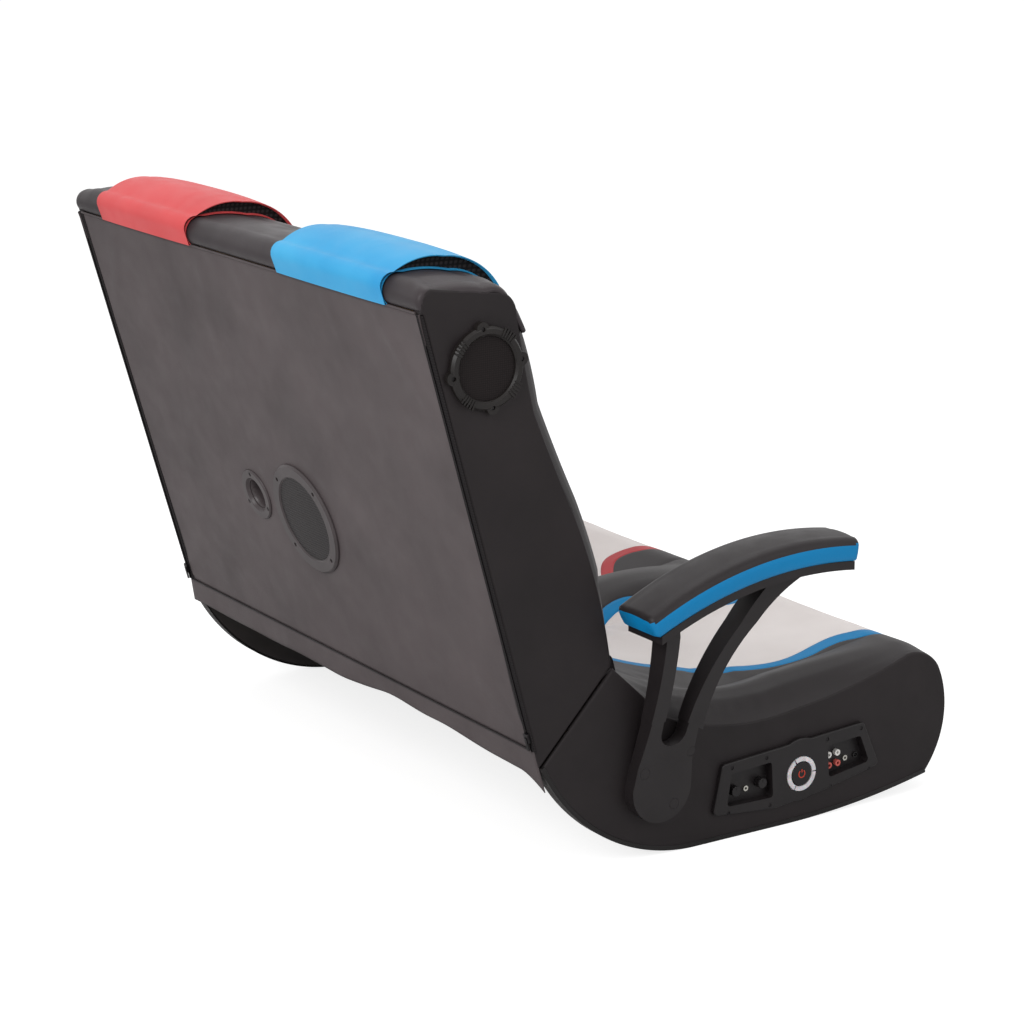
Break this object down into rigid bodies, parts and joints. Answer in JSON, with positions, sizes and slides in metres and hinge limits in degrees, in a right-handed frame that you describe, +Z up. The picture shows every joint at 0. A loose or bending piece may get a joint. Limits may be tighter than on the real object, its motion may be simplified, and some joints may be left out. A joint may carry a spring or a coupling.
{
  "type": "two-seat floor rocker chair",
  "caption": "Double-width floor rocker with a fold-forward back, two arms, headrest pads, built-in speakers, bass port and a side control panel.",
  "frame": {"origin": "centre of the bounding box on the floor, under the rocker boards", "axes": "+Z up, -Y is the way the sitters face, +X towards the sitters' left; the control panel is on the -X side"},
  "size_m": [1.173, 0.8997, 0.8477],
  "materials": {
    "plywood": "raw birch plywood, satin",
    "side_vinyl": "black grained vinyl, satin",
    "black_upholstery": "black vinyl over foam, satin",
    "white_upholstery": "off-white vinyl over foam, satin",
    "grey_upholstery": "dark grey vinyl over foam, matte",
    "rear_cloth": "dark grey coated cloth, matte",
    "headrest_red": "red sports mesh over foam, matte",
    "headrest_blue": "blue sports mesh over foam, matte",
    "arm_pad_right": "black vinyl with a blue side band, satin",
    "arm_pad_left": "black vinyl with a red side band, satin",
    "arm_plastic": "black moulded plastic, fine texture",
    "panel_plastic": "black moulded plastic, fine texture",
    "knob_plastic": "black plastic, semi-gloss",
    "ring_lens": "silver-white lens, semi-gloss",
    "socket_white": "white plastic, glossy",
    "socket_red": "red plastic, glossy",
    "socket_metal": "nickel-plated, polished",
    "circuit_board": "green laminate, satin",
    "fastener_steel": "black-zinc steel, satin",
    "hinge_steel": "black enamel, satin",
    "rocker_strip": "black rubberised welt, matte",
    "underside_cloth": "black non-woven cloth, matte",
    "zip_tape": "black woven tape, matte",
    "zip_metal": "black enamel, satin",
    "speaker_plastic": "black moulded plastic, fine texture",
    "speaker_cloth": "black speaker cloth, matte",
    "grille_metal": "black enamelled mesh, satin"
  },
  "bodies": {
    "seat": {"rocker_board_right": "plywood", "rocker_board_left": "plywood", "seat_side_cover_right": "side_vinyl", "seat_side_cover_left": "side_vinyl", "rocker_edges": "rocker_strip", "seat_rails": "plywood", "seat_deck": "plywood", "dust_cover": "underside_cloth", "seat_bolsters": "black_upholstery", "seat_hump": "black_upholstery", "seat_panel_right": "white_upholstery", "seat_panel_left": "white_upholstery", "arm_bracket_right": "arm_plastic", "arm_bracket_left": "arm_plastic", "arm_pad_right": "arm_pad_right", "arm_pad_left": "arm_pad_left", "arm_bolts": "fastener_steel", "arm_bolt_caps": "arm_plastic", "arm_tee_nuts": "fastener_steel", "panel_housing": "panel_plastic", "rca_sockets_white": "socket_white", "rca_sockets_red": "socket_red", "jack_sockets": "socket_metal", "power_socket": "panel_plastic", "amplifier_board": "circuit_board", "light_ring": "ring_lens", "panel_screws": "fastener_steel", "seat_hinge_plates": "hinge_steel"},
    "volume_knob": {"volume_knob": "knob_plastic"},
    "bass_knob": {"bass_knob": "knob_plastic"},
    "power_button": {"power_button": "knob_plastic"},
    "backrest": {"back_board_right": "plywood", "back_board_left": "plywood", "back_side_cover_right": "side_vinyl", "back_side_cover_left": "side_vinyl", "back_rails": "plywood", "back_support": "plywood", "back_bolsters": "black_upholstery", "back_ridge": "black_upholstery", "back_panel_right": "grey_upholstery", "back_panel_left": "grey_upholstery", "headrest_roll": "grey_upholstery", "headrest_pad_right": "headrest_blue", "headrest_pad_left": "headrest_red", "back_cover": "rear_cloth", "back_flap": "rear_cloth", "zip_tapes": "zip_tape", "back_hinge_plates": "hinge_steel", "hinge_pins": "hinge_steel", "speaker_bezels": "speaker_plastic", "speaker_cloths": "speaker_cloth", "speaker_drivers": "speaker_plastic", "woofer_bezel": "speaker_plastic", "woofer_grille": "grille_metal", "woofer_driver": "speaker_plastic", "subwoofer_box": "plywood", "bass_port": "speaker_plastic", "speaker_screws": "fastener_steel"},
    "zip_slider_right": {"zip_slider_right": "zip_metal"},
    "zip_slider_left": {"zip_slider_left": "zip_metal"}
  },
  "joints": [
    {"name": "backrest_fold", "type": "hinge", "parent": "seat", "child": "backrest", "pos_m": [0, 0.14697, 0.28272], "axis": [1, 0, 0], "range_deg": [0, 100]},
    {"name": "volume_turn", "type": "hinge", "parent": "seat", "child": "volume_knob", "pos_m": [-0.493, -0.06171, 0.06757], "axis": [-1, 0, 0], "range_deg": [-150, 150]},
    {"name": "bass_turn", "type": "hinge", "parent": "seat", "child": "bass_knob", "pos_m": [-0.493, -0.10761, 0.07062], "axis": [-1, 0, 0], "range_deg": [-150, 150]},
    {"name": "power_press", "type": "slide", "parent": "seat", "child": "power_button", "axis": [1, 0, 0], "range_m": [0, 0.0015], "stiffness_N_per_m": 600, "springref_m": -0.001},
    {"name": "zip_right_slide", "type": "slide", "parent": "backrest", "child": "zip_slider_right", "axis": [0, 0.2706, 0.9627], "range_m": [0, 0.56]},
    {"name": "zip_left_slide", "type": "slide", "parent": "backrest", "child": "zip_slider_left", "axis": [0, 0.2706, 0.9627], "range_m": [0, 0.56]}
  ]
}
